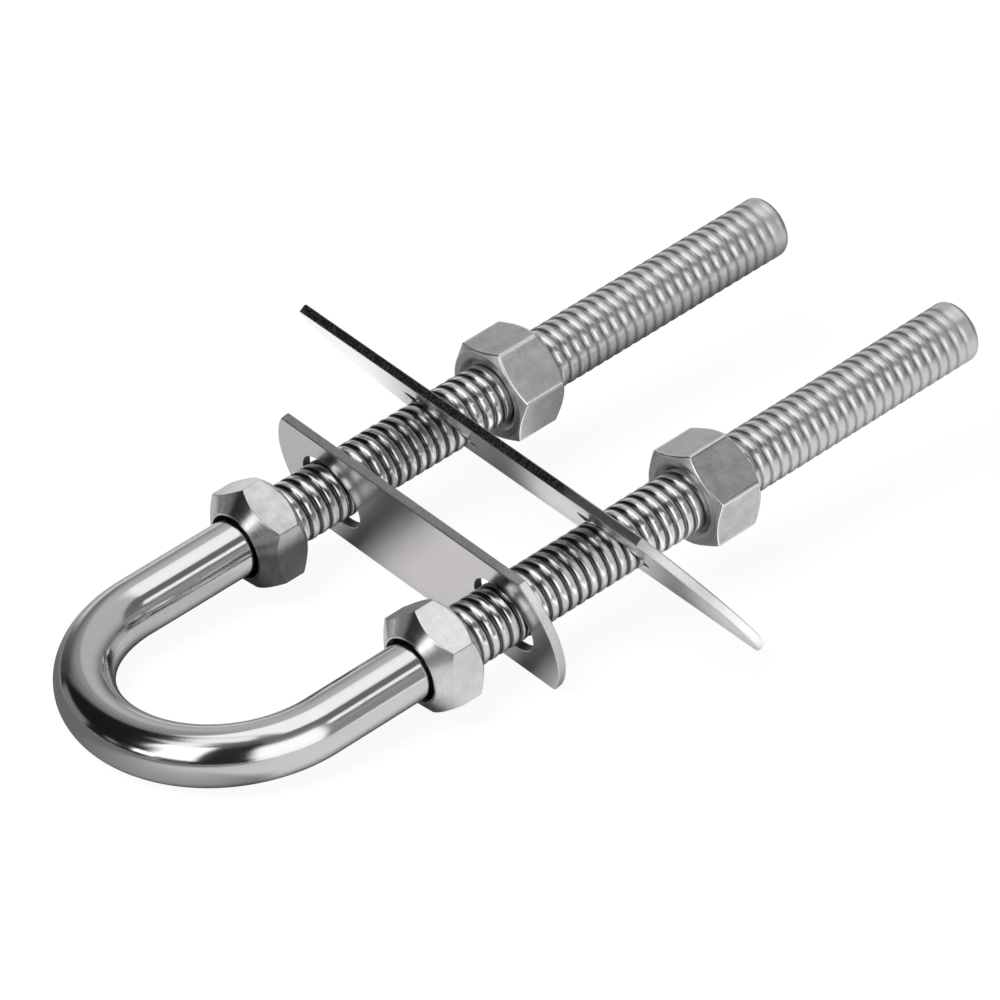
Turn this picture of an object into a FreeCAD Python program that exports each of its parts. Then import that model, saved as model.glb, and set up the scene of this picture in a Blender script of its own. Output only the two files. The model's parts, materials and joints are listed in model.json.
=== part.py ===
import FreeCAD, Part
import math
import os
import re

import Sketcher

# Stern eye: a polished U-shaped rod with rolled threads on both legs, a coned collar nut high on
# each leg, an outer plate and a larger backing plate hanging loose on the legs, and a hex nut on
# each leg behind them. Lengths are in millimetres and angles in degrees.
# In the part's frame +X runs along the legs from the eye to the tips, and +Z is up. The part lies
# as it comes to rest: on the lower edge of the backing plate, with the eye end down.

# Driving sizes, each written once. Places along the legs start where the bend ends.
SIZES = [
    ("rodDiameter", 11.0, "polished rod of the eye"),
    ("threadRise", 0.5, "how far the rolled thread stands out of the rod"),
    ("legSpacing", 50.0, "between the axes of the two legs"),
    ("threadSlope", 0.5, "length of each slope between the rod and the thread"),
    ("freeEnd", 59.6, "thread that stands out behind the left hex nut"),
    ("tipChamfer", 1.2, "chamfer on the two tips"),
    ("nutWall", 3.0, "hex nut, from the thread out to the flats"),
    ("nutHeight", 10.8, "hex nut, along its axis"),
    ("nutMouthPlay", 1.3, "hex nut, from the thread out to the rim of the countersinks"),
    ("collarWall", 3.3, "collar nut, from the thread out to the flats"),
    ("collarEdge", 4.2, "collar nut, length of the hexagon's edges between its two cones"),
    ("collarConeAngle", 39.0, "collar nut, slope of the nose cone from its nose plane"),
    ("collarNoseWall", 0.7, "collar nut, from the thread out to the nose cone's small end"),
    ("collarBackAngle", 45.0, "collar nut, slope of the short cone at its back"),
    ("collarBackWall", 2.6, "collar nut, from the thread out to the back cone's small end"),
    ("collarMouthPlay", 0.3, "collar nut, from the thread out to the wall of its counterbore"),
    ("collarMouthDepth", 3.0, "collar nut, depth of the counterbore in its nose"),
    ("collarBackPlay", 0.7, "collar nut, from the thread out to the rim of its countersink"),
    ("cornerAngle", 30.0, "hex nut, slope of the chamfers that round its corners"),
    ("threadPlay", 0.1, "radial clearance between the threads of a nut and a leg"),
    ("plateSeatPlay", 0.2, "clearance left where a plate hangs or leans on the legs"),
    ("edgeBreak", 0.2, "broken edges of the two plates"),
    ("outerThickness", 1.8, "outer plate"),
    ("outerWidth", 26.4, "outer plate, between its straight edges"),
    ("outerEndMargin", 14.25, "outer plate, from a hole's centre to the tip of the round end"),
    ("outerEndBow", 4.9, "outer plate, how far the round end bows out"),
    ("outerHolePlay", 3.4, "outer plate, how much wider than the thread its holes are"),
    ("outerLean", 11.3, "outer plate, its top leans towards the eye"),
    ("outerYaw", 3.9, "outer plate, its left end is nearer to the tips"),
    ("outerSide", 0.4, "outer plate, place in its sideways play: 0 central, 1 against the legs"),
    ("backingThickness", 1.8, "backing plate"),
    ("backingWidth", 43.4, "backing plate, between its straight edges"),
    ("backingEndMargin", 33.1, "backing plate, from a hole's centre to the tip of the round end"),
    ("backingEndBow", 9.5, "backing plate, how far the round end bows out"),
    ("backingHolePlay", 4.2, "backing plate, how much wider than the thread its holes are"),
    ("backingYaw", 4.1, "backing plate, its left end is nearer to the tips"),
    ("backingSide", 0.6, "backing plate, place in its sideways play"),
    ("collarLeftPlace", 23.3, "from the end of the bend to the nose of the left collar nut"),
    ("collarRightPlace", 20.5, "from the end of the bend to the nose of the right collar nut"),
    ("outerPlace", 12.6, "from the back of the left collar nut to the middle of the outer plate"),
    ("backingPlace", 26.7, "from the middle of the outer plate to that of the backing plate"),
    ("nutLeftPlace", 11.4, "from the middle of the backing plate to the left hex nut"),
    ("nutRightPlace", 13.1, "from the middle of the backing plate to the right hex nut"),
    ("collarLeftTurn", 29.9, "left collar nut, turn of a corner up from the left"),
    ("collarRightTurn", 25.0, "right collar nut, turn of a corner up from the left"),
    ("nutLeftTurn", 49.0, "left hex nut, turn of a corner up from the left"),
    ("nutRightTurn", 41.4, "right hex nut, turn of a corner up from the left"),
]

# Sizes that follow from the driving ones.
DERIVED = [
    ("rodRadius", "rodDiameter / 2"),
    ("threadRadius", "rodRadius + threadRise"),
    ("bendRadius", "legSpacing / 2"),
    ("boreRadius", "rodRadius + threadPlay"),
    ("nutFlats", "threadRadius + nutWall"),
    ("nutCorner", "nutFlats / cos(30)"),
    ("nutMouthRadius", "threadRadius + nutMouthPlay"),
    ("nutMouthDepth", "nutMouthRadius - boreRadius"),
    ("collarFlats", "threadRadius + collarWall"),
    ("collarCorner", "collarFlats / cos(30)"),
    ("collarNose", "threadRadius + collarNoseWall"),
    ("collarNoseLength", "(collarCorner - collarNose) * tan(collarConeAngle)"),
    ("collarBackRing", "threadRadius + collarBackWall"),
    ("collarBackLength", "(collarCorner - collarBackRing) * tan(collarBackAngle)"),
    ("collarHeight", "collarNoseLength + collarEdge + collarBackLength"),
    ("collarMouthRadius", "threadRadius + collarMouthPlay"),
    ("collarBackRadius", "threadRadius + collarBackPlay"),
    ("collarLeftBack", "collarLeftPlace + collarHeight"),
    ("collarRightBack", "collarRightPlace + collarHeight"),
    ("outerLength", "legSpacing + 2 * outerEndMargin"),
    ("outerCornerPlace", "outerLength / 2 - outerEndBow"),
    ("outerEndRadius", "(outerWidth ^ 2 / 4 + outerEndBow ^ 2) / 2 / outerEndBow"),
    ("outerHoleRadius", "threadRadius + outerHolePlay / 2"),
    ("backingLength", "legSpacing + 2 * backingEndMargin"),
    ("backingCornerPlace", "backingLength / 2 - backingEndBow"),
    ("backingEndRadius", "(backingWidth ^ 2 / 4 + backingEndBow ^ 2) / 2 / backingEndBow"),
    ("backingHoleRadius", "threadRadius + backingHolePlay / 2"),
    ("outerMiddle", "collarLeftBack + outerPlace"),
    ("backingMiddle", "outerMiddle + backingPlace"),
    ("nutLeftFace", "backingMiddle + nutLeftPlace"),
    ("nutRightFace", "backingMiddle + nutRightPlace"),
    ("nutLeftBack", "nutLeftFace + nutHeight"),
    ("nutRightBack", "nutRightFace + nutHeight"),
    ("legLength", "nutLeftBack + freeEnd"),
]

ALONG = FreeCAD.Vector(1, 0, 0)
ACROSS = FreeCAD.Vector(0, 1, 0)
UP = FreeCAD.Vector(0, 0, 1)

doc = FreeCAD.newDocument("SternEye")


def make_sheet():
    # Driving sizes first, then the rows worked out from them.
    sheet = doc.addObject("Spreadsheet::Sheet", "Sizes")
    for row, (name, value, note) in enumerate(SIZES, start=1):
        sheet.set(f"A{row}", str(value))
        sheet.setAlias(f"A{row}", name)
        sheet.set(f"B{row}", note)
    for row, (name, formula) in enumerate(DERIVED, start=len(SIZES) + 1):
        sheet.set(f"A{row}", "=" + formula)
        sheet.setAlias(f"A{row}", name)
    doc.recompute()
    return sheet


sheet = make_sheet()
NAMES = {entry[0] for entry in SIZES + DERIVED}


def size(name):
    return float(sheet.get(name))


def bind(formula):
    # The same formula with each of the sheet's names written the way other objects read it.
    def full(word):
        return "Sizes." + word[0] if word[0] in NAMES else word[0]
    return re.sub(r"[A-Za-z]\w*", full, formula)


# Helpers for sketches and turned features

def new_body(name):
    body = doc.addObject("PartDesign::Body", name)
    body.Label = name
    return body


def origin_plane(body, role):
    return next(part for part in body.Origin.OriginFeatures if part.Role == role)


def new_sketch(body, name, role):
    sketch = body.newObject("Sketcher::SketchObject", name)
    sketch.AttachmentSupport = [(origin_plane(body, role), "")]
    sketch.MapMode = "FlatFace"
    return sketch


def constrain(sketch, kind, *place):
    return sketch.addConstraint(Sketcher.Constraint(kind, *place))


def value(formula):
    # The present value of a formula in the sheet's names.
    return float(sheet.evalExpression("0 + " + formula))


def bound(sketch, kind, formula, *place):
    # A dimension whose value follows a formula in the sheet's names.
    row = constrain(sketch, kind, *place, value(formula))
    sketch.setExpression(f"Constraints[{row}]", bind(formula))


def fix_point(sketch, geometry, end, across, up):
    # Places a point of a line, arc or circle from the sketch's origin. A point at 0 is on an axis.
    if across == "0":
        constrain(sketch, "PointOnObject", geometry, end, -2)
    else:
        bound(sketch, "DistanceX", across, -1, 1, geometry, end)
    if up == "0":
        constrain(sketch, "PointOnObject", geometry, end, -1)
    else:
        bound(sketch, "DistanceY", up, -1, 1, geometry, end)


def draw_outline(sketch, points):
    # A closed outline of straight edges through points given as pairs of formulas.
    corners = [FreeCAD.Vector(value(across), value(up), 0) for across, up in points]
    for start, end in zip(corners, corners[1:] + corners[:1]):
        sketch.addGeometry(Part.LineSegment(start, end), False)
    for index, (across, up) in enumerate(points):
        constrain(sketch, "Coincident", index - 1 if index else len(points) - 1, 2, index, 1)
        fix_point(sketch, index, 1, across, up)


def turned(body, name, kind, points, axis_place="0"):
    # A Revolution or Groove of an outline of (x, radius) points about X, or a line beside it.
    sketch = new_sketch(body, name + "Outline", "XY_Plane")
    if axis_place != "0":
        sketch.setExpression("AttachmentOffset.Base.y", bind(axis_place))
    draw_outline(sketch, points)
    feature = body.newObject("PartDesign::" + kind, name)
    feature.Profile = sketch
    feature.ReferenceAxis = (sketch, ["H_Axis"])
    feature.Angle = 360.0
    return feature


# The rod with its bend and its two legs. The thread is drawn as a plain sleeve as wide as its
# crests. It was rolled on the rod, so its pitch cylinder is the rod's own surface: inside a nut,
# where both threads mesh, leg and bore are drawn there, and the nut can't slide along the leg.

def add_bend(body):
    path = new_sketch(body, "BendPath", "XY_Plane")
    circle = Part.Circle(FreeCAD.Vector(0, 0, 0), UP, size("bendRadius"))
    path.addGeometry(Part.ArcOfCircle(circle, math.pi / 2, 3 * math.pi / 2), False)
    constrain(path, "Coincident", 0, 3, -1, 1)
    bound(path, "Radius", "bendRadius", 0)
    constrain(path, "PointOnObject", 0, 1, -2)
    constrain(path, "PointOnObject", 0, 2, -2)

    section = new_sketch(body, "RodSection", "YZ_Plane")
    centre = FreeCAD.Vector(size("bendRadius"), 0, 0)
    section.addGeometry(Part.Circle(centre, UP, size("rodRadius")), False)
    fix_point(section, 0, 3, "bendRadius", "0")
    bound(section, "Radius", "rodRadius", 0)

    bend = body.newObject("PartDesign::AdditivePipe", "Bend")
    bend.Profile = section
    bend.Spine = (path, ["Edge1"])


def add_leg(body, side, axis_place):
    # Plain rod to the back of the collar nut, thread to the hex nut, and thread to the tip.
    turned(body, side + "Leg", "Revolution", [
        ("0", "0"),
        ("0", "rodRadius"),
        (f"collar{side}Back", "rodRadius"),
        (f"collar{side}Back + threadSlope", "threadRadius"),
        (f"nut{side}Face - threadSlope", "threadRadius"),
        (f"nut{side}Face", "rodRadius"),
        (f"nut{side}Back", "rodRadius"),
        (f"nut{side}Back + threadSlope", "threadRadius"),
        ("legLength - tipChamfer", "threadRadius"),
        ("legLength", "threadRadius - tipChamfer"),
        ("legLength", "0"),
    ], axis_place)


def make_u_bolt():
    body = new_body("u_bolt")
    add_bend(body)
    add_leg(body, "Left", "bendRadius")
    add_leg(body, "Right", "-bendRadius")
    return body


# The four nuts: a hexagon bar, corners turned off, then bored. Their axis is X, from x = 0.

def hexagon_bar(body, corner, height):
    sketch = new_sketch(body, "Hexagon", "YZ_Plane")
    draw_outline(sketch, [
        (corner, "0"),
        (f"{corner} * cos(60)", f"{corner} * sin(60)"),
        (f"-{corner} * cos(60)", f"{corner} * sin(60)"),
        (f"-{corner}", "0"),
        (f"-{corner} * cos(60)", f"-{corner} * sin(60)"),
        (f"{corner} * cos(60)", f"-{corner} * sin(60)"),
    ])
    bar = body.newObject("PartDesign::Pad", "HexagonBar")
    bar.Profile = sketch
    bar.setExpression("Length", bind(height))


def turn_off(body, name, foot, radius, angle, corner, side):
    # Removes what lies outside a cone that meets the face at foot in a circle of that radius.
    # A side of "+" cuts into the face at x = 0 and "-" into the one at the other end.
    beyond = f"(2 * {corner} - {radius})"
    turned(body, name, "Groove", [
        (foot, radius),
        (foot, f"2 * {corner}"),
        (f"{foot} {side} {beyond} * tan({angle})", f"2 * {corner}"),
    ])


def make_hex_nut(name):
    body = new_body(name)
    hexagon_bar(body, "nutCorner", "nutHeight")
    turn_off(body, "NearCorners", "0", "nutFlats", "cornerAngle", "nutCorner", "+")
    turn_off(body, "FarCorners", "nutHeight", "nutFlats", "cornerAngle", "nutCorner", "-")
    turned(body, "Bore", "Groove", [
        ("0", "0"),
        ("0", "nutMouthRadius"),
        ("nutMouthDepth", "boreRadius"),
        ("nutHeight - nutMouthDepth", "boreRadius"),
        ("nutHeight", "nutMouthRadius"),
        ("nutHeight", "0"),
    ])
    return body


def make_collar_nut(name):
    # Both ends are turned to cones that run out on the six flats. The nose is counterbored.
    body = new_body(name)
    hexagon_bar(body, "collarCorner", "collarHeight")
    turn_off(body, "NoseCone", "0", "collarNose", "collarConeAngle", "collarCorner", "+")
    turn_off(body, "BackCone", "collarHeight", "collarBackRing", "collarBackAngle",
             "collarCorner", "-")
    turned(body, "Bore", "Groove", [
        ("0", "0"),
        ("0", "collarMouthRadius"),
        ("collarMouthDepth", "collarMouthRadius"),
        ("collarMouthDepth + collarMouthRadius - boreRadius", "boreRadius"),
        ("collarHeight - collarBackRadius + boreRadius", "boreRadius"),
        ("collarHeight", "collarBackRadius"),
        ("collarHeight", "0"),
    ])
    return body


# The two plates: straight long edges, bowed ends and a hole for each leg, about x = 0

def make_plate(name, kind):
    body = new_body(name)
    sketch = new_sketch(body, "PlateOutline", "YZ_Plane")
    corner, half = size(kind + "CornerPlace"), size(kind + "Width") / 2
    radius, tip = size(kind + "EndRadius"), size(kind + "Length") / 2
    swing = math.atan2(half, corner - tip + radius)
    ends = {
        "left_top": FreeCAD.Vector(-corner, half, 0),
        "right_top": FreeCAD.Vector(corner, half, 0),
        "right_low": FreeCAD.Vector(corner, -half, 0),
        "left_low": FreeCAD.Vector(-corner, -half, 0),
    }
    right_round = Part.Circle(FreeCAD.Vector(tip - radius, 0, 0), UP, radius)
    left_round = Part.Circle(FreeCAD.Vector(radius - tip, 0, 0), UP, radius)
    sketch.addGeometry(Part.LineSegment(ends["left_top"], ends["right_top"]), False)
    sketch.addGeometry(Part.ArcOfCircle(right_round, -swing, swing), False)
    sketch.addGeometry(Part.LineSegment(ends["right_low"], ends["left_low"]), False)
    sketch.addGeometry(Part.ArcOfCircle(left_round, math.pi - swing, math.pi + swing), False)
    constrain(sketch, "Coincident", 0, 2, 1, 2)
    constrain(sketch, "Coincident", 1, 1, 2, 1)
    constrain(sketch, "Coincident", 2, 2, 3, 2)
    constrain(sketch, "Coincident", 3, 1, 0, 1)
    fix_point(sketch, 0, 1, f"-{kind}CornerPlace", f"{kind}Width / 2")
    fix_point(sketch, 0, 2, f"{kind}CornerPlace", f"{kind}Width / 2")
    fix_point(sketch, 2, 1, f"{kind}CornerPlace", f"-{kind}Width / 2")
    fix_point(sketch, 2, 2, f"-{kind}CornerPlace", f"-{kind}Width / 2")
    bound(sketch, "Radius", f"{kind}EndRadius", 1)
    bound(sketch, "Radius", f"{kind}EndRadius", 3)
    for index, side in ((4, ""), (5, "-")):
        centre = FreeCAD.Vector(value(f"{side}bendRadius"), 0, 0)
        sketch.addGeometry(Part.Circle(centre, UP, size(kind + "HoleRadius")), False)
        fix_point(sketch, index, 3, f"{side}bendRadius", "0")
        bound(sketch, "Radius", f"{kind}HoleRadius", index)

    sheet_metal = body.newObject("PartDesign::Pad", "SheetMetal")
    sheet_metal.Profile = sketch
    sheet_metal.Midplane = True
    sheet_metal.setExpression("Length", bind(f"{kind}Thickness"))
    doc.recompute()

    # Every edge that lies in one of the two faces is broken.
    flat = [f"Edge{number}" for number, edge in enumerate(sheet_metal.Shape.Edges, start=1)
            if edge.BoundBox.XLength < size("edgeBreak") / 10]
    broken = body.newObject("PartDesign::Chamfer", "BrokenEdges")
    broken.Base = (sheet_metal, flat)
    broken.setExpression("Size", bind("edgeBreak"))
    return body


# Places on the legs, before the part is laid down

def nut_place(kind, side, face):
    # A nut's own axis is X: it is turned about that, then moved to its face on its leg.
    leg = size("bendRadius") if side == "Left" else -size("bendRadius")
    turn = FreeCAD.Rotation(ALONG, size(f"{kind}{side}Turn"))
    return FreeCAD.Placement(FreeCAD.Vector(size(face), leg, 0), turn)


def plate_place(middle, side, drop, lean, yaw):
    turn = FreeCAD.Rotation(UP, -yaw) * FreeCAD.Rotation(ACROSS, -lean)
    return FreeCAD.Placement(FreeCAD.Vector(middle, side, -drop), turn)


def outer_place():
    # It hangs on the legs by the tops of its holes, so its middle drops by the play that its
    # lean leaves, less as it stands further to one side.
    lean = math.radians(size("outerLean"))
    seat = size("threadRadius") + size("plateSeatPlay")
    side = size("outerSide") * (size("outerHoleRadius") - seat)
    height = size("outerHoleRadius") * math.cos(lean) - size("outerThickness") / 2 * math.sin(lean)
    drop = (height - seat) * math.sqrt(1 - size("outerSide") ** 2)
    return plate_place(size("outerMiddle"), side, drop, size("outerLean"), size("outerYaw"))


def backing_place():
    # It leans until the upper edge of one face of its holes and the lower edge of the other both
    # meet the legs: hole * cos(lean) - thickness * sin(lean) = leg and its play. The hole counts
    # as high as it is beside its middle, where the plate's sideways place brings the leg.
    seat = size("threadRadius") + size("plateSeatPlay")
    radius = size("backingHoleRadius")
    side = size("backingSide") * (radius - seat)
    hole = 2 * math.sqrt(radius ** 2 - side ** 2)
    thickness = size("backingThickness")
    lean = math.acos(2 * seat / math.hypot(hole, thickness)) - math.atan(thickness / hole)
    return plate_place(size("backingMiddle"), side, 0, math.degrees(lean), size("backingYaw"))


def lower_corners(kind, place):
    # The four lower corners of a plate, two on each face.
    half, corner = size(kind + "Thickness") / 2, size(kind + "CornerPlace")
    low = -size(kind + "Width") / 2
    return [place.multVec(FreeCAD.Vector(across, end, low))
            for across in (-half, half) for end in (-corner, corner)]


def resting_tilt(backing, outer):
    # The eye end sinks until the bend or the outer plate is level with the backing plate's edge.
    # The bend's lowest line under a tilt is bendRadius * sin(tilt) + rodRadius below its centre.
    tilts = []
    for foot in lower_corners("backing", backing):
        reach, fall = foot.x + size("bendRadius"), -foot.z
        on_bend = math.atan2(fall, reach) - math.asin(size("rodRadius") / math.hypot(reach, fall))
        on_plate = [math.atan2(point.z - foot.z, foot.x - point.x)
                    for point in lower_corners("outer", outer)]
        tilts.append(min([on_bend] + on_plate))
    return math.degrees(max(tilts))


# Build, lay down and write

bodies = [
    make_u_bolt(),
    make_collar_nut("collar_nut_left"),
    make_collar_nut("collar_nut_right"),
    make_plate("outer_plate", "outer"),
    make_plate("backing_plate", "backing"),
    make_hex_nut("hex_nut_left"),
    make_hex_nut("hex_nut_right"),
]
doc.recompute()

outer, backing = outer_place(), backing_place()
places = {
    "u_bolt": FreeCAD.Placement(),
    "collar_nut_left": nut_place("collar", "Left", "collarLeftPlace"),
    "collar_nut_right": nut_place("collar", "Right", "collarRightPlace"),
    "outer_plate": outer,
    "backing_plate": backing,
    "hex_nut_left": nut_place("nut", "Left", "nutLeftFace"),
    "hex_nut_right": nut_place("nut", "Right", "nutRightFace"),
}
tilt = resting_tilt(backing, outer)
lay_down = FreeCAD.Placement(FreeCAD.Vector(0, 0, 0), FreeCAD.Rotation(ACROSS, -tilt))

# The origin is the middle of the ground that the part covers, under its lowest point.
cover = FreeCAD.BoundBox()
for body in bodies:
    body.Placement = lay_down * places[body.Label]
    cover.add(body.Shape.optimalBoundingBox(False))
to_origin = FreeCAD.Placement(FreeCAD.Vector(-cover.Center.x, -cover.Center.y, -cover.ZMin),
                              FreeCAD.Rotation())
for body in bodies:
    body.Placement = to_origin * lay_down * places[body.Label]
doc.recompute()

for thing in doc.Objects:
    if "Invalid" in thing.State or "Error" in thing.State:
        raise RuntimeError(f"{thing.Name} did not build: {thing.State}")
for body in bodies:
    if body.Shape.isNull() or not body.Shape.isValid() or len(body.Shape.Solids) != 1:
        raise RuntimeError(f"{body.Label} is not one sound solid")

os.makedirs("parts", exist_ok=True)
for body in bodies:
    body.Shape.exportStep(f"parts/{body.Label}.step")
    print(body.Label, f"{body.Shape.Volume:.1f} cubic mm")
print(f"tilt {tilt:.3f}, shift {-cover.Center.x:.3f} {-cover.Center.y:.3f} {-cover.ZMin:.3f}")
print(f"extent {cover.XLength:.2f} x {cover.YLength:.2f} x {cover.ZLength:.2f}")
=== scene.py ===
import json
import math

import bmesh
import bpy
import numpy as np
from mathutils import Matrix


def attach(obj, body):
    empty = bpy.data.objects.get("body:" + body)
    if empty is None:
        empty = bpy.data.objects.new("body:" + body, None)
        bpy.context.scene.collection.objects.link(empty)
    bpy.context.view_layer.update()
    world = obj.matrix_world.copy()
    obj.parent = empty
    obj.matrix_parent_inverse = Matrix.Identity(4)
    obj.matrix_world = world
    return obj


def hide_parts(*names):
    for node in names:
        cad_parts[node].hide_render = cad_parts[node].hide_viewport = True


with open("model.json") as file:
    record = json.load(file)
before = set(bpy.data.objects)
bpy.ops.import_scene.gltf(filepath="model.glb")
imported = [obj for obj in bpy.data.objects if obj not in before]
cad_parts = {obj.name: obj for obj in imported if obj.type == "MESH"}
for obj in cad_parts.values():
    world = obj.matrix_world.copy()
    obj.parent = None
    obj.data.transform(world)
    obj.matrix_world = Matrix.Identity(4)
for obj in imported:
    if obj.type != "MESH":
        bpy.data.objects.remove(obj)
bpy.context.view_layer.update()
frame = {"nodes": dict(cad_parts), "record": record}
print("frame loaded")

# The legs' own frame, in millimetres: x along the legs from the end of the bend, y across them
# and z up from them. The record's mounts say how it lies in the part.
millimetre = 0.001
mounts = {mount["name"]: mount for mount in frame["record"]["mounts"]}
alongLegs = np.array(mounts["studs"]["axis"], dtype=float)
alongLegs /= np.linalg.norm(alongLegs)
acrossLegs = np.array([0.0, 1.0, 0.0])
upFromLegs = np.cross(alongLegs, acrossLegs)
legAxes = np.array([alongLegs, acrossLegs, upFromLegs])

rod = {
    "radius": 5.5,
    "bendRadius": 25.0,
    "around": 60,             # columns round the rod and the thread
    "bendRows": 120,
    "plainRows": 14,
    "threadStart": {1: 27.0, -1: 24.0},   # by side, hidden in the collar nuts
    "end": 154.010,
}
legStart = np.array(mounts["eye"]["pos_m"]) + rod["bendRadius"] * millimetre * alongLegs


def toPart(points):
    # A point is the legs' start plus its x, y and z along the legs' axes.
    return legStart + np.asarray(points) * millimetre @ legAxes


# Shader maths: a field is a socket that takes part in sums, and each sum adds its Math node.
class Field:
    def __init__(self, finish, socket):
        self.finish = finish
        self.socket = socket

    def __add__(self, other):
        return self.finish.maths("ADD", self, other)

    def __sub__(self, other):
        return self.finish.maths("SUBTRACT", self, other)

    def __rsub__(self, other):
        return self.finish.maths("SUBTRACT", other, self)

    def __mul__(self, other):
        return self.finish.maths("MULTIPLY", self, other)

    def __truediv__(self, other):
        return self.finish.maths("DIVIDE", self, other)

    __radd__ = __add__


class Finish:
    # A node tree that is being written: of a material or of the world.
    def __init__(self, tree):
        self.tree = tree
        tree.nodes.clear()

    def node(self, kind, settings=None, sockets=None, out=0):
        made = self.tree.nodes.new("ShaderNode" + kind)
        for key, setting in (settings or {}).items():
            setattr(made, key, setting)
        for key, given in (sockets or {}).items():
            if isinstance(given, Field):
                self.tree.links.new(given.socket, made.inputs[key])
            else:
                made.inputs[key].default_value = given
        return Field(self, made.outputs[out]) if made.outputs else None

    def outputs(self, kind, *keys, sockets=None):
        # Several outputs of one node.
        made = self.node(kind, None, sockets).socket.node
        return [Field(self, made.outputs[key]) for key in keys]

    def maths(self, operation, *values):
        return self.node("Math", {"operation": operation}, dict(enumerate(values)))

    def step(self, value, low, high, start=0.0, end=1.0):
        # Rises smoothly from start to end as the value goes from low to high.
        return self.node("MapRange", {"interpolation_type": "SMOOTHSTEP"}, {
            "Value": value, "From Min": low, "From Max": high, "To Min": start, "To Max": end})

    def noise(self, vector, scale, detail=2.0, roughness=0.5):
        return self.node("TexNoise", {"noise_dimensions": "3D"}, {
            "Vector": vector, "Scale": scale, "Detail": detail, "Roughness": roughness})

    def vector(self, x, y, z):
        return self.node("CombineXYZ", None, {0: x, 1: y, 2: z})

    def parts(self, vector):
        return self.outputs("SeparateXYZ", 0, 1, 2, sockets={0: vector})

    def mix(self, amount, first, second):
        # The colour mix's sockets: 6 and 7 are its colours and output 2 is what comes of them.
        return self.node("Mix", {"data_type": "RGBA"}, {0: amount, 6: first, 7: second}, out=2)

    def bump(self, height, distance):
        return self.node("Bump", None, {
            "Height": height, "Distance": distance * millimetre, "Strength": 1.0})


def grey(level, red=0.0, blue=0.0):
    # A linear grey with a share more of red and of blue.
    return (level * (1 + red), level, level * (1 + blue), 1.0)


def newMaterial(name):
    material = bpy.data.materials.new(name)
    material.use_nodes = True
    return material, Finish(material.node_tree)


def legPlace(finish, yaw=0.0, lean=0.0, middle=(0.0, 0.0, 0.0)):
    # A point's place in the legs' frame or in one turned from it, in millimetres.
    turn = Matrix(legAxes.tolist()).transposed() @ (
        Matrix.Rotation(-math.radians(yaw), 3, "Z") @ Matrix.Rotation(-math.radians(lean), 3, "Y"))
    where = finish.node("TexCoord", out=3)
    return finish.node("Mapping", {"vector_type": "TEXTURE"}, {
        "Vector": where,
        "Location": toPart(middle).tolist(),
        "Rotation": turn.to_euler(),
        "Scale": (millimetre, millimetre, millimetre)})


def metal(finish, colour, roughness, normal):
    surface = finish.node("BsdfPrincipled", None, {
        "Base Color": colour, "Metallic": 1.0, "Roughness": roughness, "Normal": normal})
    finish.node("OutputMaterial", None, {"Surface": surface})


# Meshes from grids of points
weldDistance = 0.0001 * millimetre
bevel = {
    "steps": 4,               # points on a rounded corner
    "mostOfEdge": 0.38,       # no corner takes up more of an edge than this
    "guard": 1.5,             # how much further out the guard points are
    "guardMostOfEdge": 0.45,
}


def gridMesh(name, blocks, edgeAngle, closeRows=False):
    # Each block is a grid of points whose rows close on themselves. A face joins each point to
    # the next in its row and in its column. Where a row is one turn of a helix, it closes on the
    # row that lies `shift` rows on. Blocks that share a ring of points grow together there.
    vertices, faces, first = [], [], 0
    for points, shift in blocks:
        rows, columns = points.shape[:2]
        row, column = np.meshgrid(np.arange(rows if closeRows else rows - 1), np.arange(columns),
                                  indexing="ij")
        nextColumn = (column + 1) % columns
        lift = np.where(column == columns - 1, shift, 0)
        across = np.clip(row + lift, 0, rows - 1)
        ahead = (row + 1) % rows
        aheadAcross = np.clip(ahead + lift, 0, rows - 1)
        faces.append(first + np.stack([
            row * columns + column, across * columns + nextColumn,
            aheadAcross * columns + nextColumn, ahead * columns + column],
            axis=-1).reshape(-1, 4))
        vertices.append(points.reshape(-1, 3))
        first += rows * columns
    mesh = bpy.data.meshes.new(name)
    mesh.from_pydata(toPart(np.concatenate(vertices)), [], np.concatenate(faces).tolist())

    shell = bmesh.new()
    shell.from_mesh(mesh)
    bmesh.ops.remove_doubles(shell, verts=shell.verts, dist=weldDistance)
    bmesh.ops.recalc_face_normals(shell, faces=shell.faces)
    shell.to_mesh(mesh)
    shell.free()
    mesh.shade_smooth()
    mesh.set_sharp_from_angle(angle=math.radians(edgeAngle))
    piece = bpy.data.objects.new(name, mesh)
    bpy.context.scene.collection.objects.link(piece)
    return piece


def smoothRise(value, low, high):
    # 0 below low, 1 above high, and 3 t squared less 2 t cubed between.
    t = np.clip((value - low) / (high - low), 0, 1)
    return t * t * (3 - 2 * t)


def softened(corners, rounding):
    # A closed profile of points x columns x 2. Each corner becomes a quadratic curve that leaves
    # its two edges at most `rounding` from the corner, with a guard point outside each end.
    back = np.roll(corners, 1, axis=0) - corners
    ahead = np.roll(corners, -1, axis=0) - corners
    rows = []
    for corner, before, after, reach in zip(corners, back, ahead, rounding):
        ends = []
        for edge in (before, after):
            length = np.linalg.norm(edge, axis=-1, keepdims=True)
            unit = edge / np.maximum(length, 1e-9)
            ends.append([
                unit * np.minimum(reach, bevel["mostOfEdge"] * length),
                unit * np.minimum(reach * bevel["guard"], bevel["guardMostOfEdge"] * length)])
        (start, startGuard), (end, endGuard) = ends
        rows.append(corner + startGuard)
        for t in np.linspace(0, 1, bevel["steps"]):
            rows.append(corner + (1 - t) ** 2 * start + t ** 2 * end)
        rows.append(corner + endGuard)
    return np.array(rows)


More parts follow.
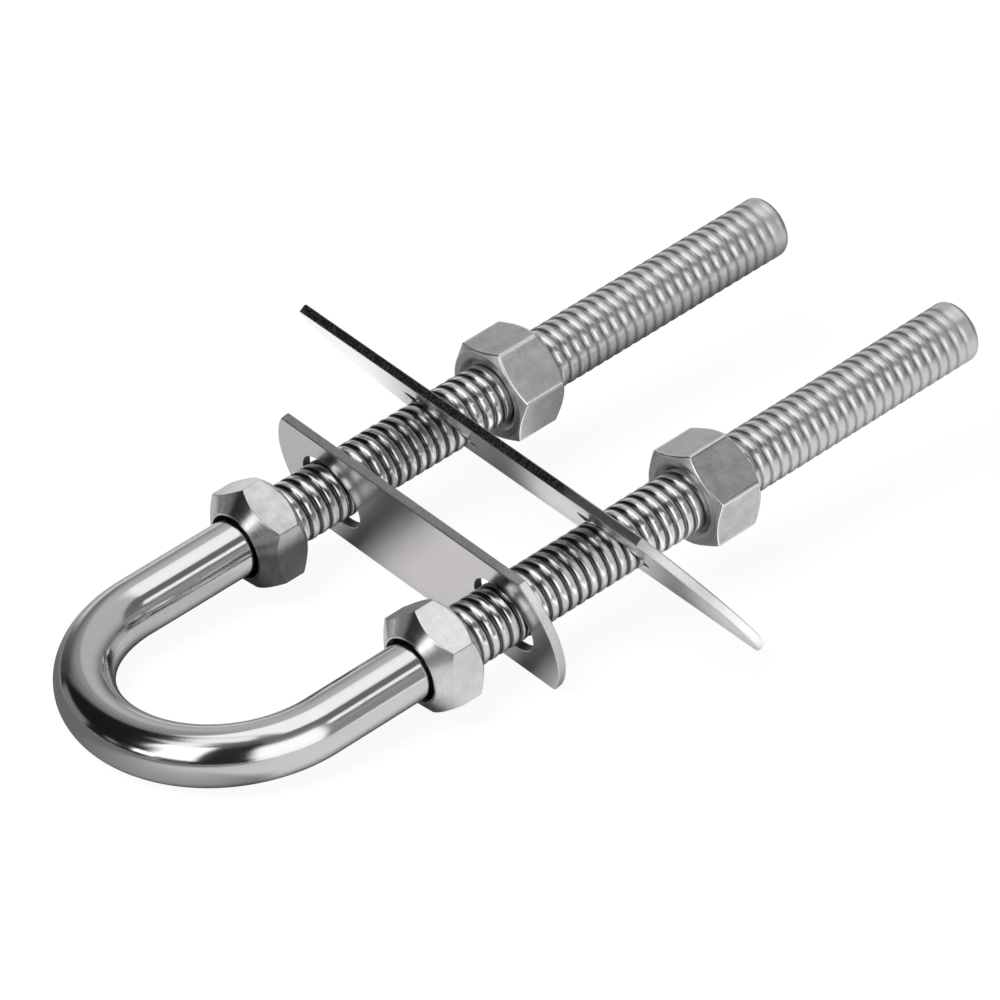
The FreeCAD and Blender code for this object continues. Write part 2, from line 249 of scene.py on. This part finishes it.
# The rod and its threads
thread = {
    "pitch": 2.32,
    # From the crest to the middle of the root in shares of the pitch, and the height there over
    # the rod: a broad, slightly crowned crest and a narrow root
    "places": [0.0, 0.12, 0.22, 0.30, 0.36, 0.43, 0.5],
    "heights": [0.50, 0.492, 0.462, 0.39, 0.27, 0.16, 0.12],
    "fade": 1.5,              # turns over which the thread rises out of the rod
    "farShare": 0.62,         # share of the roots' depth that is left beyond farFade
    "farFade": (55.0, 115.0),
    "tipFade": (1.0, 6.0),    # from the tip's face, where the root rises to the crest
    "tipRounding": 1.5,
    "tipRows": [1.0, 0.985, 0.93, 0.8, 0.5, 0.2, 0.0],   # shares of the tip's radius
    "spareTurns": 2,          # past each end, where the rows all lie on the start or the tip
}
crestRadius = rod["radius"] + thread["heights"][0]


def threadBlocks(side, hand):
    # Rows follow the helix: x = start + pitch * (turn + place in the turn + hand * column /
    # columns), held between the thread's start and the tip. The radius is the rod's plus the
    # thread's height, where the roots grow shallower far along the leg and run out at the tip.
    # There it is at most a quarter round that ends in the flat of the tip.
    columns, pitch, start = rod["around"], thread["pitch"], rod["threadStart"][side]
    places = np.array(thread["places"] + [1 - place for place in thread["places"][-2:0:-1]])
    spare = thread["spareTurns"]
    turns = np.arange(-spare, int((rod["end"] - start) / pitch) + spare)
    turn = (turns[:, None] + places).ravel()[:, None]
    swing = hand * np.arange(columns) / columns
    x = np.clip(start + pitch * (turn + swing), start, rod["end"])
    fromCrest = np.abs(((x - start) / pitch - swing + 0.5) % 1 - 0.5)
    rise = np.interp(fromCrest, thread["places"], thread["heights"])
    rise = rise * smoothRise(x, start, start + thread["fade"] * pitch)
    share = 1 - (1 - thread["farShare"]) * smoothRise(x, *thread["farFade"])
    depth = (thread["heights"][0] - rise) * share * smoothRise(
        rod["end"] - x, *thread["tipFade"])
    rise = thread["heights"][0] - depth
    left = np.clip(1 - (rod["end"] - x) / thread["tipRounding"], 0, 1)
    limit = crestRadius - thread["tipRounding"] * (1 - np.sqrt(1 - left ** 2))
    radius = np.minimum(rod["radius"] + rise, limit)
    tip = radius[-1] * np.array(thread["tipRows"])[:, None]
    return [(legPoints(side, x, radius), hand * len(places)),
            (legPoints(side, np.full_like(tip, rod["end"]), tip), 0)]


def legPoints(side, x, radius):
    # Across the leg a point is its axis plus the radius times (cos outward + sin up).
    angle = 2 * np.pi * np.arange(rod["around"]) / rod["around"]
    return np.stack([x, side * (rod["bendRadius"] + radius * np.cos(angle)),
                     radius * np.sin(angle)], axis=-1)


def bendBlock():
    # Round the bend a point is its centre line's plus the radius times (cos outward + sin up).
    angle = 2 * np.pi * np.arange(rod["around"]) / rod["around"]
    swing = np.linspace(0, np.pi, rod["bendRows"])[:, None]
    reach = rod["bendRadius"] + rod["radius"] * np.cos(angle)
    up = np.broadcast_to(rod["radius"] * np.sin(angle), (rod["bendRows"], rod["around"]))
    return np.stack([-np.sin(swing) * reach, np.cos(swing) * reach, up], axis=-1), 0


def plainBlock(side):
    x = np.linspace(0.0, rod["threadStart"][side], rod["plainRows"])[:, None]
    x = x * np.ones(rod["around"])
    return legPoints(side, x, np.full_like(x, rod["radius"])), 0


def legRound(finish, where):
    # Distance from the nearer leg's axis, and the turn about it, for both legs at once.
    x, y, z = finish.parts(where)
    across = finish.maths("ABSOLUTE", y) - rod["bendRadius"]
    return x, finish.maths("SQRT", across * across + z * z), finish.maths("ARCTAN2", z, across)


def polishedRod():
    # Mirror polish: roughness = 0.09 + 0.06 * cloudy noise + 0.06 * faint lines along the rod,
    # and the tone follows the clouds.
    material, finish = newMaterial("polished rod")
    where = legPlace(finish)
    cloud = finish.noise(where, 0.09, 3.0)
    x, y, z = finish.parts(where)
    fine = finish.noise(finish.vector(x * 0.15, y, z), 2.4, 3.0)
    scratches = finish.step(fine, 0.55, 0.8)
    roughness = 0.09 + cloud * 0.06 + scratches * 0.06
    colour = finish.mix(cloud, grey(0.74, 0.012, 0.006), grey(0.82, 0.016, 0.006))
    metal(finish, colour, roughness, finish.bump(fine, 0.003))
    return material


threadFinish = {
    # Painted shade in the thread's roots, darkest near the bend
    "shadedRoots": (grey(0.11, -0.02, 0.04), grey(0.50)),      # near the bend and towards the tips
    "crests": grey(0.90, 0.006, 0.004),
    "lit": (0.30, 1.0),       # shares of the height between which the root turns to crest
    "broken": 0.35,           # how far a noise moves that height
    "tipwards": (65.0, 120.0),
    "tip": (rod["end"] - 14.0, rod["end"] - 2.0),
}


def rolledThread():
    # Rolled thread: colour = painted shade in the roots, dark near the bend and paler towards the
    # tips, to crests by the height over the root, which a fine noise breaks. Roughness = 0.20 +
    # 0.14 tipwards + 0.12 at the tip - 0.06 on the crests, with 0.08 of slow noise.
    material, finish = newMaterial("rolled thread")
    where = legPlace(finish)
    x, radius, _ = legRound(finish, where)
    depth = thread["heights"][0] - thread["heights"][-1]
    height = (radius - crestRadius) / depth + 1.0
    speckle = finish.noise(where, 1.2, 3.0, 0.6)
    soft = finish.noise(where, 0.25, 2.0)
    lit = finish.step(height + (speckle - 0.5) * threadFinish["broken"], *threadFinish["lit"])
    tipwards = finish.step(x, *threadFinish["tipwards"])
    tip = finish.step(x, *threadFinish["tip"])
    # Painted shade: the roots darker than the crests
    colour = finish.mix(lit, finish.mix(tipwards, *threadFinish["shadedRoots"]), threadFinish["crests"])
    roughness = 0.20 + tipwards * 0.14 + tip * 0.12 - lit * 0.06 + (soft - 0.5) * 0.08
    metal(finish, colour, roughness, finish.bump(speckle, 0.03))
    return material


blocks = [bendBlock(), plainBlock(1), plainBlock(-1)] + threadBlocks(1, 1) + threadBlocks(-1, -1)
uBolt = gridMesh("u_bolt_threaded", blocks, 50)
uBolt.data.materials.append(polishedRod())
uBolt.data.materials.append(rolledThread())
centres = np.empty(len(uBolt.data.polygons) * 3)
uBolt.data.polygons.foreach_get("center", centres)
along, across, up = ((centres.reshape(-1, 3) - legStart) @ legAxes.T / millimetre).T
starts = np.where(across > 0, rod["threadStart"][1], rod["threadStart"][-1])
threaded = (along > starts).astype(np.int32)
uBolt.data.polygons.foreach_set("material_index", threaded)
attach(uBolt, "root")
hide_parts("u_bolt")
print("rod and threads:", len(uBolt.data.polygons), "faces")


# The four nuts
hexNut = {
    "flats": 9.0,             # from the axis to a flat
    "height": 10.8,
    "cornerRounding": 0.35,
    "faceRing": 8.72,         # where the round face ends and the corners' chamfer starts
    "chamfer": 30.0,
    "mouth": 7.3,
    "bore": 5.6,
    "rounding": [0.2, 0.25, 0.2, 0.2, 0.25, 0.2, 0.3, 0.3],
    "places": {"left": (83.610, 49.0), "right": (85.310, 41.4)},   # face's x and turn
    # Painted highlight on the edges: how far from an edge it goes over to none, in millimetres
    "chamferWear": (0.16, 0.42),
    "cornerWear": (0.12, 0.3),
}
collarNut = {
    "flats": 9.3,
    "height": 9.610,
    "cornerRounding": 0.3,
    "nose": 6.7,
    "coneAngle": 39.0,
    "backRing": 8.6,
    "backAngle": 45.0,
    "mouth": 6.3,
    "mouthDepth": 3.0,
    "backMouth": 6.7,
    "bore": 5.6,
    "rounding": [0.06, 0.1, 0.15, 0.15, 0.15, 0.2, 0.3, 0.2, 0.06],
    "places": {"left": (23.3, 29.9), "right": (20.5, 25.0)},   # nose's x and turn
    # Painted shade: the turn about which the metal is painted darker, in degrees from outward,
    # half its width, its tone, the darkest and palest tone elsewhere, and the red and blue of the
    # painted shade. The nuts' tones elsewhere differ as painted light and shade.
    "shades": {
        "left": (-120, 65, 0.14, 0.58, 0.84, (-0.02, 0.03)),
        "right": (-100, 40, 0.52, 0.74, 0.90, (0.03, 0.008)),
    },
    "dullFade": 25,           # degrees over which it goes over to the rest
    # The painted shade's darkest and palest share of its tone
    "dullSpread": (0.8, 1.2),
}
halfFlat = math.radians(30)   # from the middle of a flat to the corner, seen from the axis
cornerSteps = np.radians([0, 0.3, 0.6, 0.85, 1.1, 1.6, 3.0, 6.0, 11.0, 17.0, 24.0, 30.0])


def hexagonReach(nut):
    # Angles round a nut, dense at its corners, and the reach there: flats / cos(angle from the
    # flat's middle), and at the corners a round of the corner's own small radius.
    half = np.concatenate([-cornerSteps[:0:-1], cornerSteps[:-1]])
    angle = (half[None] + np.radians(np.arange(0, 360, 60))[:, None]).ravel()
    away = np.tile(np.abs(half), 6)
    rounding = nut["cornerRounding"]
    centre = (nut["flats"] - rounding) / math.cos(halfFlat)
    flat = nut["flats"] / np.cos(halfFlat - away)
    offset = np.clip(rounding ** 2 - (centre * np.sin(away)) ** 2, 0, None)
    arc = centre * np.cos(away) + np.sqrt(offset)
    inFlat = (nut["flats"] - rounding) * math.tan(halfFlat)
    start = halfFlat - math.atan(inFlat / nut["flats"])
    return angle, np.where(away < start, arc, flat)


def profile(columns, *points):
    # A closed profile from pairs of x and radius, each a number or one value per column.
    return np.array([np.stack([np.broadcast_to(part, columns) for part in pair], axis=-1)
                     for pair in points])


def hexNutProfile(nut, reach):
    # The chamfer reaches the flats where x = (reach - faceRing) * tan(chamfer).
    slope = (reach - nut["faceRing"]) * math.tan(math.radians(nut["chamfer"]))
    depth = nut["mouth"] - nut["bore"]
    return profile(len(reach), (depth, nut["bore"]), (0, nut["mouth"]), (0, nut["faceRing"]),
                   (slope, reach), (nut["height"] - slope, reach),
                   (nut["height"], nut["faceRing"]), (nut["height"], nut["mouth"]),
                   (nut["height"] - depth, nut["bore"]))


def collarNutProfile(nut, reach):
    # The nose cone reaches the flats where x = (reach - nose) * tan(coneAngle), and the one at
    # the back in the same way.
    cone = (reach - nut["nose"]) * math.tan(math.radians(nut["coneAngle"]))
    slope = (reach - nut["backRing"]) * math.tan(math.radians(nut["backAngle"]))
    inner = nut["mouthDepth"] + nut["mouth"] - nut["bore"]
    return profile(len(reach), (0, nut["mouth"]), (0, nut["nose"]), (cone, reach),
                   (nut["height"] - slope, reach), (nut["height"], nut["backRing"]),
                   (nut["height"], nut["backMouth"]),
                   (nut["height"] - nut["backMouth"] + nut["bore"], nut["bore"]),
                   (inner, nut["bore"]), (nut["mouthDepth"], nut["mouth"]))


def makeNut(name, nut, corners, side):
    # Each column of the profile is carried to (x, radius * cos, radius * sin) about its leg.
    place, turn = nut["places"][side]
    angle, reach = hexagonReach(nut)
    outline = softened(corners(nut, reach), nut["rounding"])
    angle = angle + math.radians(turn)
    leg = rod["bendRadius"] if side == "left" else -rod["bendRadius"]
    points = np.stack([place + outline[..., 0], leg + outline[..., 1] * np.cos(angle),
                       outline[..., 1] * np.sin(angle)], axis=-1)
    return gridMesh(name, [(points, 0)], 25, closeRows=True)


def turnedSteel(side, shade):
    # Turned cone and milled flats: rings = noise of x with hardly any y and z, so they run round
    # the axis, over a cloudy and scuffed tone. Shade is painted darker about one turn of the nut.
    # Roughness = 0.13 + 0.10 * rings + 0.08 * clouds.
    material, finish = newMaterial("turned collar nut " + side)
    where = legPlace(finish)
    _, radius, turn = legRound(finish, where)
    x, y, z = finish.parts(where)
    rings = finish.noise(finish.vector(x, y * 0.05, z * 0.05), 4.0, 3.0, 0.6)
    cloud = finish.noise(where, 0.22, 3.0)
    scuffs = finish.noise(finish.vector(x * 0.3, turn * 6.0, radius), 0.9, 4.0, 0.6)
    tone = finish.step(cloud * 0.4 + scuffs * 0.3 + rings * 0.3, 0.35, 0.65)
    # Painted shade about one turn of the nut, and tones elsewhere set per nut as painted light
    around, half, shadeTone, darkest, palest, tint = shade
    away = finish.maths("ABSOLUTE", finish.maths(
        "WRAP", turn - math.radians(around), math.pi, -math.pi))
    inShade = finish.step(away, math.radians(half), math.radians(half + collarNut["dullFade"]),
                         1.0, 0.0)
    clear = finish.mix(tone, grey(darkest), grey(palest, 0.012, 0.006))
    shadeColour = finish.mix(tone, *(grey(shadeTone * share, *tint) for share in collarNut["dullSpread"]))
    colour = finish.mix(inShade, clear, shadeColour)
    roughness = 0.13 + rings * 0.10 + cloud * 0.08
    metal(finish, colour, roughness, finish.bump(rings + scuffs * 0.6, 0.008))
    return material


def nutEdges(finish, where, nut):
    # 1 on the edges of a nut, where a highlight is painted, 0 elsewhere. An edge is where a point
    # lies near two faces at once: near the chamfer's cone and a flat, or near the rounded corner's
    # radius.
    x, radius, turn = legRound(finish, where)
    y = finish.parts(where)[1]
    (leftFace, leftTurn), (rightFace, rightTurn) = nut["places"]["left"], nut["places"]["right"]
    fromFace = x - finish.step(y, -1.0, 1.0, rightFace, leftFace)
    fromEnd = finish.maths("MINIMUM", fromFace, nut["height"] - fromFace)
    flatMiddle = finish.step(y, -1.0, 1.0, math.pi + halfFlat - math.radians(rightTurn),
                             halfFlat + math.radians(leftTurn))
    fromMiddle = finish.maths("WRAP", turn - flatMiddle, halfFlat, -halfFlat)
    cone = (radius - nut["faceRing"]) * math.tan(math.radians(nut["chamfer"]))
    fromCone = finish.maths("ABSOLUTE", fromEnd - cone)
    fromFlat = finish.maths("ABSOLUTE", radius * finish.maths("COSINE", fromMiddle) - nut["flats"])
    # The round at a corner ends about 0.15 of its radius short of the sharp corner.
    corner = nut["flats"] / math.cos(halfFlat) - nut["cornerRounding"] * 0.15
    fromEdge = finish.maths("MAXIMUM", fromCone, fromFlat)
    onChamfer = finish.step(fromEdge, *nut["chamferWear"], 1.0, 0.0)
    onCorner = finish.step(corner - radius, *nut["cornerWear"], 1.0, 0.0)
    return finish.maths("MAXIMUM", onChamfer, onCorner)


def nutSteel():
    # Cold-formed nut: satin, with fine drawn lines along the axis, a short grain, small pits, and
    # a painted highlight: edges made paler and smoother. Roughness = 0.26 + 0.12 * lines + 0.08 *
    # clouds + 0.1 * pits - 0.18 * edge highlight.
    material, finish = newMaterial("satin hex nut")
    where = legPlace(finish)
    x, radius, turn = legRound(finish, where)
    drawn = finish.noise(finish.vector(x * 0.12, turn * 7.0, radius * 0.8), 3.0, 4.0, 0.6)
    cloud = finish.noise(where, 0.3, 4.0, 0.6)
    pits = finish.step(finish.noise(where, 2.8, 3.0, 0.7), 0.62, 0.75)
    grain = finish.noise(finish.vector(x * 1.4, turn * 5.0, radius), 1.6, 4.0, 0.7)
    edgeHighlight = nutEdges(finish, where, hexNut)
    tone = finish.step(cloud * 0.4 + drawn * 0.3 + grain * 0.3, 0.34, 0.66)
    # Painted highlight: the edges near white
    colour = finish.mix(edgeHighlight, finish.mix(tone, grey(0.58), grey(0.82, 0.008, 0.004)), grey(0.97))
    roughness = 0.26 + drawn * 0.12 + cloud * 0.08 + pits * 0.1 - edgeHighlight * 0.18
    metal(finish, colour, roughness, finish.bump(drawn + grain - pits * 0.5, 0.012))
    return material


nutFinish = nutSteel()
for side in ("left", "right"):
    collarFinish = turnedSteel(side, collarNut["shades"][side])
    for name, nut, corners, finishUsed, slot in (
            ("hex_nut_", hexNut, hexNutProfile, nutFinish, "nut_steel"),
            ("collar_nut_", collarNut, collarNutProfile, collarFinish, "turned_steel")):
        piece = makeNut(name + side + "_detailed", nut, corners, side)
        piece.data.materials.append(finishUsed)
        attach(piece, "root")
        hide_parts(name + side)
print("nuts made")


# The two plates keep their solids
plates = {
    "outer_plate": {"middle": (45.510, 0.6, -1.076), "lean": 11.3, "yaw": 3.9, "thickness": 1.8,
                    "edge": (0.48, 0.68), "paintedLitEdge": (0.70, 0.90)},
    "backing_plate": {"middle": (72.210, 1.14, 0), "lean": 33.4, "yaw": 4.1, "thickness": 1.8,
                      "edge": (0.05, 0.34), "paintedLitEdge": (0.72, 0.90)},
}
sheet = {
    "face": (grey(0.68, 0.036, 0.010), grey(0.86, 0.036, 0.010)),
    "edgeDepth": (0.12, 0.02),       # from the face, where the cut edge's finish goes over to it
    "pastRightLeg": (-32.0, -26.0),  # y where the bright edge goes over to the dark one
    "holeReach": (8.6, 9.2),         # from a leg's axis, past the wall of its hole
    # Painted shade: the walls of the holes near black
    "holeShade": grey(0.10),
}


def sheetSteel(name, plate):
    # Cold-rolled sheet: grain drawn along the plate, and rougher, darker cut edges. Past the right
    # leg the cut edge is painted bright, a painted highlight, and in the holes near black, painted
    # shade. The cut edge is where the height over the plate's middle plane falls short of half its
    # thickness. Roughness = 0.14 + 0.08 * clouds + 0.06 * grain on the faces, and 0.36 + 0.2 *
    # spots on the cut edges, less 0.1 where they are bright.
    material, finish = newMaterial(name.replace("_", " ") + " sheet")
    where = legPlace(finish, plate["yaw"], plate["lean"], plate["middle"])
    x, y, z = finish.parts(where)
    grain = finish.noise(finish.vector(x, y * 0.06, z * 1.6), 2.6, 4.0, 0.6)
    cloud = finish.noise(where, 0.12, 3.0)
    spots = finish.noise(where, 2.6, 4.0, 0.7)
    inFace = finish.step(finish.maths("ABSOLUTE", x), *(
        plate["thickness"] / 2 - depth for depth in sheet["edgeDepth"]))
    faceTone = finish.mix(cloud * 0.6 + grain * 0.4, *sheet["face"])
    speck = finish.step(spots, 0.40, 0.75)
    # Painted highlight: the cut edge paler past the right leg
    bright = finish.step(y, *sheet["pastRightLeg"], 1.0, 0.0)
    edgeTone = finish.mix(bright, *(finish.mix(speck, grey(low), grey(high)) for low, high in (
        plate["edge"], plate["paintedLitEdge"])))
    fromLeg = legRound(finish, legPlace(finish))[1]
    # Painted shade: the walls of the holes near black
    inHole = finish.step(fromLeg, *sheet["holeReach"], 1.0, 0.0)
    edgeTone = finish.mix(inHole, edgeTone, sheet["holeShade"])
    colour = finish.mix(inFace, edgeTone, faceTone)
    edgeRough = 0.36 + spots * 0.2 - bright * 0.1
    faceRough = 0.14 + cloud * 0.08 + grain * 0.06
    roughness = edgeRough * (1.0 - inFace) + faceRough * inFace
    height = grain * inFace + spots * (1.0 - inFace) * 1.5
    metal(finish, colour, roughness, finish.bump(height, 0.008))
    return material


for name, plate in plates.items():
    material = sheetSteel(name, plate)
    for held in frame["nodes"][name].material_slots:
        held.material = material
print("plates finished")


# Floor, light and camera
studio = {
    "floorSide": 12.0,
    "floorCells": 8,
    "floorTones": (0.87, 0.88),
    # The floor as the metal mirrors it, painted with shade and light: a tone, then oblongs painted
    # over it in this order, by their middle, half sides and soft edge in millimetres, and tone
    "floorToneInMetal": 0.372,
    "floorTint": (0.01, 0.004),
    "darkTint": (-0.06, 0.04),       # of the patches whose tone is below darkTone
    "darkTone": 0.2,
    "floorPatches": {
        "shaded side": (-63, 228, 450, 238, 32, 0.105),
        "dark past the bend": (-320, 33, 199, 259, 4, 0.073),
        "shade before the bend": (-216, 29, 142, 60, 3, 0.074),
        "between the legs": (-8, 37, 51, 65, 8, 0.29),
        "under the outer plate": (-20, -12, 12, 53, 6, 0.38),
        "before the bend": (-110, -47, 25, 39, 24, 0.31),
        "under the backing plate": (23, 0, 10, 30, 5, 0.5),
        "nearer its middle": (23, -8, 10, 24, 5, 0.95),
        "beside the backing plate": (24, 140, 14, 96, 6, 0.62),
        "under its other end": (20, -110, 10, 84, 6, 0.78),
        "below the right nut": (45, -42, 10, 12, 5, 0.44),
    },
    "floorGlow": 0.93,        # share of plain white in what the camera sees of the floor
    "floorGlowInMetal": 0.02,
    "lampPlace": (-0.65, 0.0, 1.0),
    "lampSize": (0.8, 0.8),
    "lampPower": 26.0,
}


def makeFloor():
    side, cells = studio["floorSide"] / 2, studio["floorCells"]
    line = np.linspace(-side, side, cells + 1)
    y, x = np.meshgrid(line, line, indexing="ij")
    points = np.stack([x, y, np.zeros_like(x)], axis=-1).reshape(-1, 3)
    row, column = np.meshgrid(np.arange(cells), np.arange(cells), indexing="ij")
    first = (row * (cells + 1) + column).ravel()
    faces = np.stack([first, first + 1, first + cells + 2, first + cells + 1], axis=-1)
    mesh = bpy.data.meshes.new("floor")
    mesh.from_pydata(points, [], faces.tolist())
    floor = bpy.data.objects.new("floor", mesh)
    bpy.context.scene.collection.objects.link(floor)
    material, finish = newMaterial("pale floor")
    where = finish.node("TexCoord", out=3)
    white = finish.node("Emission", None, {"Color": grey(1.0), "Strength": 1.0})
    camera, glossy, through = finish.outputs(
        "LightPath", "Is Camera Ray", "Is Glossy Ray", "Is Transmission Ray")
    plain = finish.mix(finish.noise(where, 3.0), *(grey(tone) for tone in studio["floorTones"]))
    x, y, _ = finish.parts(where)
    # Painted shade and light on the floor as the metal mirrors it: a tone, then the patches
    mirrored = grey(studio["floorToneInMetal"], *studio["floorTint"])
    for middleX, middleY, halfX, halfY, soft, level in studio["floorPatches"].values():
        inside = 1.0
        for place, middle, half in ((x, middleX, halfX), (y, middleY, halfY)):
            away = finish.maths("ABSOLUTE", place / millimetre - middle)
            inside = finish.step(away, half - soft, half + soft, 1.0, 0.0) * inside
        tint = studio["darkTint" if level < studio["darkTone"] else "floorTint"]
        mirrored = finish.mix(inside, mirrored, grey(level, *tint))
    colour = finish.mix(glossy, plain, mirrored)
    diffuse = finish.node("BsdfDiffuse", None, {"Color": colour})
    share = finish.maths("MAXIMUM", camera, through) * studio["floorGlow"]
    share = finish.maths("MAXIMUM", share, glossy * studio["floorGlowInMetal"])
    both = finish.node("MixShader", None, {0: share, 1: diffuse, 2: white})
    finish.node("OutputMaterial", None, {"Surface": both})
    floor.data.materials.append(material)


room = {
    "wall": 0.316,            # plain level of the room in the metal
    # A ceiling panel: its reach along X and Y for each unit of height, and its brightness
    "panelX": (0.042, 0.42),
    "panelY": (-0.33, 0.466),
    "panelSoft": 0.06,
    "panelRise": (0.0, 0.1),  # it fades out towards the horizon, by the direction's height
    "panel": 1.12,
    # Painted over the wall in this order: azimuth from +X towards +Y and half its width, lowest
    # and highest elevation, softness sideways and upright, all in degrees, and brightness
    "patches": {
        "bright ceiling": (163, 60, 29, 89, 23, 8, 1.06),
        "side wall": (77, 12, -1, 22, 5, 17, 0.16),
        "far wall": (0, 57, -8, 60, 8.5, 18, 0.52),
        "grey over the windows": (-122, 65, 47, 73.5, 2.3, 7.4, 0.18),
        "dark wall": (129.5, 27, 0.5, 66, 33, 8.4, 0.01),
        "dark corner": (-139, 22, 9, 49, 6, 30, 0.02),
        "first window": (-175, 19, 13.5, 60, 3, 2.6, 1.4),
        "second window": (-95, 19, -23, 40, 8.4, 12.7, 1.19),
        "its upper half": (-96, 18, 14, 37.5, 11.5, 5, 1.27),
        "dark beam": (-75, 27, 50, 54, 9.6, 3, 0.27),
        "dark far wall": (-5, 38, -14.5, 7, 35, 32, 0.11),
        "grey door": (116, 12, 4, 10, 5.7, 7.6, 0.22),
        "low shelf": (175, 24, 7.5, 12.4, 7, 1.5, 0.27),
        "edge of the ceiling": (167, 3.6, 63, 68, 31.6, 8.9, 1.15),
        "dark skirting": (165.5, 5, -42.5, 26.4, 11, 24, 0.0125),
        "grey far corner": (-47, 14, 30, 54, 8, 8, 0.17),
        "dark over the far corner": (-46, 14, 42, 62, 8, 6, 0.15),
        "light far corner": (58, 12, 0, 14, 8, 6, 0.66),
        "bright slit": (-60, 4, 35.5, 42, 2, 3, 1.2),
        "under the first window": (-167, 7, -1, 8, 4, 3, 0.08),
        "its lower pane": (173.5, 5.5, 10.5, 17, 3, 2.5, 2.0),
    },
}


def studioWorld():
    # Strength over the direction: the wall, then each patch over it by its mask, then the
    # ceiling panel, which is an oblong on a level plane above the part.
    world = bpy.data.worlds.new("studio")
    world.use_nodes = True
    bpy.context.scene.world = world
    finish = Finish(world.node_tree)
    x, y, z = finish.parts(finish.node("TexCoord", out=0))
    toDegrees = 180 / math.pi
    azimuth = finish.maths("ARCTAN2", y, x) * toDegrees
    elevation = finish.maths("ARCSINE", z) * toDegrees

    def band(value, low, high, soft):
        above = finish.step(value, low - soft, low)
        return above * finish.step(value, high, high + soft, 1.0, 0.0)

    level = room["wall"]
    for centre, half, low, high, side, upright, strength in room["patches"].values():
        away = finish.maths("ABSOLUTE", finish.maths("WRAP", azimuth - centre, 180.0, -180.0))
        mask = finish.step(away, half, half + side, 1.0, 0.0) * band(elevation, low, high, upright)
        level = level + mask * (strength - level)
    height = finish.maths("MAXIMUM", z, 0.001)
    panel = (band(x / height, *room["panelX"], room["panelSoft"])
             * band(y / height, *room["panelY"], room["panelSoft"])
             * finish.step(z, *room["panelRise"]))
    level = level + panel * (room["panel"] - level)
    # The camera sees plain white.
    strength = finish.maths("MAXIMUM", level, *finish.outputs("LightPath", "Is Camera Ray"))
    background = finish.node("Background", None, {"Color": grey(1.0), "Strength": strength})
    finish.node("OutputWorld", None, {"Surface": background})


def softbox(name, place, aim, size, power):
    lamp = bpy.data.lights.new(name, "AREA")
    lamp.shape, lamp.size, lamp.size_y, lamp.energy = "RECTANGLE", size[0], size[1], power
    holder = bpy.data.objects.new(name, lamp)
    bpy.context.scene.collection.objects.link(holder)
    back = np.array(place, dtype=float) - np.array(aim, dtype=float)
    back /= np.linalg.norm(back)
    right = np.cross([0.0, 0.0, 1.0], back)
    right /= np.linalg.norm(right)
    direction = Matrix(np.array([right, np.cross(back, right), back]).T.tolist())
    holder.matrix_world = Matrix.Translation(place) @ direction.to_4x4()
    return holder


cameraSettings = {
    # In the legs' frame, found by fitting the part's corners and circles to the photograph
    "place": (-675.80, -935.30, 890.38),
    "right": (0.73952, -0.66754, -0.08660),
    "down": (-0.45386, -0.39946, -0.79652),
    "forward": (0.49711, 0.62835, -0.59838),
    "lens": 301.317,
    "sensorWidth": 36.0,
    "clipEnd": 50.0,
}


def makeCamera():
    data = bpy.data.cameras.new("camera")
    data.lens = cameraSettings["lens"]
    data.sensor_width = cameraSettings["sensorWidth"]
    data.clip_end = cameraSettings["clipEnd"]
    holder = bpy.data.objects.new("camera", data)
    bpy.context.scene.collection.objects.link(holder)
    axes = [np.array(cameraSettings["right"]), -np.array(cameraSettings["down"]),
            -np.array(cameraSettings["forward"])]
    turned = np.array([axis @ legAxes for axis in axes]).T
    holder.matrix_world = (Matrix.Translation(toPart(cameraSettings["place"]))
                           @ Matrix(turned.tolist()).to_4x4())
    bpy.context.scene.camera = holder


makeFloor()
studioWorld()
floorLamp = softbox("floor lamp", studio["lampPlace"], (0.0, 0.0, 0.0), studio["lampSize"],
                    studio["lampPower"])
floorLamp.visible_glossy = False
makeCamera()
bpy.context.scene.view_settings.view_transform = "Standard"
print("floor, light and camera set")
